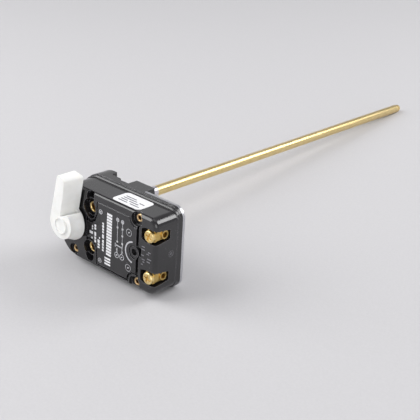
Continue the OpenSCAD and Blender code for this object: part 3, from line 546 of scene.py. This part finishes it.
# Z and the two ends in X of the raised ticks on the plate between the terminals
PLATE_TICKS = (
    (3.2, 51.5, 53.5), (1.7, 51.3, 53.8), (-1.5, 51.3, 53.0), (-3.7, 51.8, 53.8), (-5.0, 52.4, 53.6),
    (-6.6, 51.3, 52.6), (1.4, 56.0, 57.8), (0.2, 55.0, 56.6), (-2.3, 55.6, 58.2), (-3.9, 55.2, 57.5),
)
PLATE_TICK_WIDTH = 0.5

# Z and the two ends in Y of the ticks inside the ring on the terminal end
END_TICKS = ((-0.45, -9.6, -8.6), (-1.15, -9.6, -8.6))
END_TICK_WIDTH = 0.3

# Y and the two ends in X of the grey bars on the label
LABEL_BARS = (
    (-15.2, 28.6, 35.0), (-15.2, 37.0, 43.4), (-13.3, 28.6, 33.4), (-13.3, 34.6, 41.0),
    (-11.4, 28.6, 38.2), (-11.4, 40.0, 43.4), (-9.6, 28.6, 36.0),
)
LABEL_BAR_WIDTH = 0.8


def strip(path, width, rise, closed=False):
    """A line of even width drawn on a face, in the face's own u, v and height.

    Along the path c(s) with side normal n(s), the section's corners are c + n w/2 and c - n w/2,
    sunk a little into the face, and the same two raised by the line's thickness.
    """
    c = np.asarray(path, float)
    d = np.roll(c, -1, 0) - np.roll(c, 1, 0) if closed else np.gradient(c, axis=0)
    d = d / np.linalg.norm(d, axis=1, keepdims=True)
    n = np.stack([-d[:, 1], d[:, 0]], 1) * width / 2
    low = np.full((len(c), 1), -SUNK)
    high = np.full((len(c), 1), rise)
    a, b = c + n, c - n
    corners = ((a, low), (b, low), (b, high), (a, high))
    rings = np.stack([np.hstack(corner) for corner in corners], 1)
    faces = grid_faces(len(c), 4, closed, True).tolist()
    if not closed:
        last = 4 * (len(c) - 1)
        faces += [[3, 2, 1, 0], [last, last + 1, last + 2, last + 3]]
    return rings.reshape(-1, 3), faces


def line(u0, v0, u1, v1):
    """A straight path of three points."""
    return np.linspace([u0, v0], [u1, v1], 3)


def arc(u, v, radius, start=0.0, end=360.0):
    """Points on a circle's arc, from one angle to another in degrees."""
    t = np.radians(np.linspace(start, end, ARC_POINTS, endpoint=end - start < 360))
    return np.stack([u + radius * np.cos(t), v + radius * np.sin(t)], 1)


def on_front(points):
    """Carries u, v and height to X, Z and out of the front panel."""
    return np.stack([points[:, 0], FRONT_Y - points[:, 2], points[:, 1]], 1)


def on_end(points):
    """Carries u, v and height to Y, Z and out of the terminal end."""
    return np.stack([END_X + points[:, 2], points[:, 0], points[:, 1]], 1)


def on_label(points):
    """Carries u, v and height to X, Y and up from the label."""
    return np.stack([points[:, 0], points[:, 1], LABEL_Z + points[:, 2]], 1)


def marks(name, strips, material, slot):
    """One piece from several strips, each with the function that carries it to its face."""
    points, faces, count = [], [], 0
    for (strip_points, strip_faces), carry in strips:
        points.append(carry(strip_points))
        faces += [[i + count for i in face] for face in strip_faces]
        count += len(strip_points)
    piece(name, (np.concatenate(points), faces), material, smooth=False)


bold = []
for k in range(BIG_BARS):
    x, top = BIG_BAR_X - BIG_BAR_LEAN * k, BIG_BAR_TOP - BIG_BAR_STEP * k
    bar = line(x, top, x - BIG_BAR_SLANT, top - BIG_BAR_HEIGHT)
    bold.append((strip(bar, BIG_BAR_WIDTH, INK), on_front))
for x, width, bars in SHORT_BARS:
    bold += [(strip(line(x, top, x, foot), width, INK), on_front) for top, foot in bars]
for x, z in DOTS:
    bold.append((strip(line(x, z + DOT_SIZE / 2, x, z - DOT_SIZE / 2), DOT_SIZE, INK), on_front))
marks("panel_marks_bold", bold, white_ink, "white_moulding")

fine = []
for x, z, radius, width, half in RINGS:
    fine.append((strip(arc(x, z, radius), width, INK, closed=True), on_front))
    bar = line(x - half, z - RING_BAR_RISE, x + half, z + RING_BAR_RISE)
    fine.append((strip(bar, RING_BAR_WIDTH, INK), on_front))
fine += [(strip(line(*ends), width, INK), on_front) for *ends, width in DIAGRAM_LINES]
fine.append((strip(arc(*BUTTON_ARC), BUTTON_ARC_WIDTH, INK), on_front))
marks("panel_marks_fine", fine, pale_ink, "white_moulding")

ticks = [(strip(line(x0, z, x1, z), PLATE_TICK_WIDTH, TICK_RISE), on_front) for z, x0, x1 in PLATE_TICKS]
ticks += [(strip(line(y0, z, y1, z), END_TICK_WIDTH, END_TICK_RISE), on_end) for z, y0, y1 in END_TICKS]
# The raised ticks carry the painted highlight of their tops
marks("moulded_ticks", ticks, highlit_tick_tops, "black_moulding")

rows = [(strip(line(x0, y, x1, y), LABEL_BAR_WIDTH, INK), on_label) for y, x0, x1 in LABEL_BARS]
marks("label_bars", rows, grey_ink, "label_paper")


# Stage, in metres

BACKDROP = "dadadc"
FLOOR_HALF = 6
FLOOR_POINTS = 5
# How far from the object the floor begins to run out into the backdrop, and where it has done so
FLOOR_FADE = (0.9, 1.8)
# The height of a view's direction, from 0 level to 1 straight up, over which the backdrop ends
BACKDROP_TOP = (0.1, 0.28)


def seen(tree, amount):
    """An amount for rays that look at the stage, straight or in gloss or glass, and 0 for the others."""
    rays = add(tree, "LightPath").outputs
    both = add(tree, "Math", (rays["Is Camera Ray"], rays["Is Glossy Ray"]), operation="MAXIMUM").outputs[0]
    every = add(tree, "Math", (both, rays["Is Transmission Ray"]), operation="MAXIMUM").outputs[0]
    return add(tree, "Math", (amount, every), operation="MULTIPLY").outputs[0]


def floor_material():
    """Matt studio paper, pale grey with a barely visible tooth, which runs out into the backdrop."""
    tooth_mm = 1.2
    material, tree, place = new_material("studio_paper")
    tooth = add(tree, "TexNoise", {"Vector": place, "Scale": per(tooth_mm), "Detail": 3}).outputs["Fac"]
    pale = add(tree, "ValToRGB", (tooth,), ((0.2, "c3c2c4"), (0.8, "c8c7c9"))).outputs[0]
    sheet = add(tree, "BsdfPrincipled", {"Base Color": pale, "Roughness": 0.75}).outputs[0]
    away = add(tree, "VectorMath", (place,), operation="LENGTH").outputs["Value"]
    far = add(tree, "MapRange", (away, *FLOOR_FADE, 0.0, 1.0)).outputs[0]
    backdrop = add(tree, "Emission", {"Color": linear(BACKDROP), "Strength": 1.0}).outputs[0]
    shown(tree, add(tree, "MixShader", (seen(tree, far), sheet, backdrop)))
    return material


def floor():
    """A wide plane z = z0 + (y - y0) tan(slope), under the case's rear edge and the round of the tip."""
    heel_low, heel_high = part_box("rear_base")
    tip_low, tip_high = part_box("stem_plug")
    run = tip_high.y - TIP_R * MM - heel_high.y
    slope = (tip_low.z - heel_low.z) / run
    steps = np.linspace(-FLOOR_HALF, FLOOR_HALF, FLOOR_POINTS)
    x, y = np.meshgrid(steps, steps, indexing="ij")
    z = heel_low.z + (y - heel_high.y) * slope
    mesh = bpy.data.meshes.new("studio_floor")
    mesh.from_pydata(np.stack([x, y, z], -1).reshape(-1, 3).tolist(), [],
                     grid_faces(FLOOR_POINTS, FLOOR_POINTS, False, False)[:, ::-1].tolist())
    mesh.materials.append(floor_material())
    obj = bpy.data.objects.new("studio_floor", mesh)
    bpy.context.scene.collection.objects.link(obj)


floor()


# Light

# Direction from the case, distance, width and height in metres, and power in watts
SOFT_BOXES = {
    "front_left_soft_box": ((-0.65, -0.50, 0.57), 1.1, 0.9, 0.95, 11.0),
    "rear_left_soft_box": ((-0.65, 0.64, 0.41), 1.4, 0.9, 0.6, 0.6),
    "rear_right_soft_box": ((0.40, 0.69, 0.60), 1.2, 0.7, 0.45, 7.0),
    "right_fill_soft_box": ((0.75, -0.60, 0.30), 1.2, 0.9, 0.7, 4.6),
    "overhead_soft_box": ((0.0, 0.05, 1.0), 1.5, 1.2, 1.2, 3.0),
}
CASE_MIDDLE = Vector((0.03, 0, 0))


def soft_box(name, direction, distance, width, height, watts):
    """A rectangular soft box that looks at the middle of the case from a direction."""
    lamp = bpy.data.lights.new(name, "AREA")
    lamp.shape = "RECTANGLE"
    lamp.size, lamp.size_y = width, height
    lamp.energy = watts
    obj = bpy.data.objects.new(name, lamp)
    aim = Vector(direction).normalized()
    turn = aim.to_track_quat("Z", "Y").to_matrix().to_4x4()
    obj.matrix_world = Matrix.Translation(CASE_MIDDLE + aim * distance) @ turn
    bpy.context.scene.collection.objects.link(obj)


for name, values in SOFT_BOXES.items():
    soft_box(name, *values)

ROOM = "e4e4e7"
ROOM_STRENGTH = 0.5
DARK_PANEL = (-0.65, 0.08, 0.75)
DARK_STRENGTH = 0.05
# The dark panel's soft rim, as cosines of the angle from its middle
PANEL_RIM = (0.88, 0.96)


def studio_world():
    """An even room with one dark panel, up and to the left, and the pale backdrop low all round."""
    world = bpy.data.worlds.new("studio")
    bpy.context.scene.world = world
    world.use_nodes = True
    tree = world.node_tree
    tree.nodes.clear()
    way = add(tree, "TexCoord").outputs["Generated"]
    panel = Vector(DARK_PANEL).normalized()
    near = add(tree, "VectorMath", (way, panel), operation="DOT_PRODUCT").outputs["Value"]
    strength = add(tree, "MapRange", (near, *PANEL_RIM, ROOM_STRENGTH, DARK_STRENGTH)).outputs[0]
    room = add(tree, "Background", {"Color": linear(ROOM), "Strength": strength}).outputs[0]
    height = add(tree, "SeparateXYZ", (way,)).outputs["Z"]
    low = add(tree, "MapRange", (height, *BACKDROP_TOP, 1.0, 0.0)).outputs[0]
    backdrop = add(tree, "Background", {"Color": linear(BACKDROP), "Strength": 1.0}).outputs[0]
    both = add(tree, "MixShader", (seen(tree, low), room, backdrop)).outputs[0]
    add(tree, "OutputWorld", {"Surface": both})


studio_world()


# Camera

AZIMUTH, ELEVATION, ROLL = (math.radians(a) for a in (41.02, 23.70, 3.72))
CAMERA_PLACE = (342.13, -304.90, 203.09)
FOCAL_PIXELS = 917.26
FRAME_PIXELS = 420
SENSOR = 36.0


def photo_camera():
    """A camera whose back axis has the photo's azimuth and elevation, rolled about that axis."""
    back = Vector((math.sin(AZIMUTH) * math.cos(ELEVATION), -math.cos(AZIMUTH) * math.cos(ELEVATION),
                   math.sin(ELEVATION)))
    level = (-back).cross(Vector((0, 0, 1))).normalized()
    upright = level.cross(-back)
    right = level * math.cos(ROLL) + upright * math.sin(ROLL)
    up = upright * math.cos(ROLL) - level * math.sin(ROLL)
    data = bpy.data.cameras.new("photo_camera")
    data.sensor_width = SENSOR
    data.lens = FOCAL_PIXELS / FRAME_PIXELS * SENSOR
    data.clip_start, data.clip_end = 0.01, 20
    obj = bpy.data.objects.new("photo_camera", data)
    turn = Matrix((right, up, back)).transposed().to_4x4()
    obj.matrix_world = Matrix.Translation(Vector(CAMERA_PLACE) * MM) @ turn
    bpy.context.scene.collection.objects.link(obj)
    bpy.context.scene.camera = obj


photo_camera()
bpy.context.scene.view_settings.view_transform = "Standard"
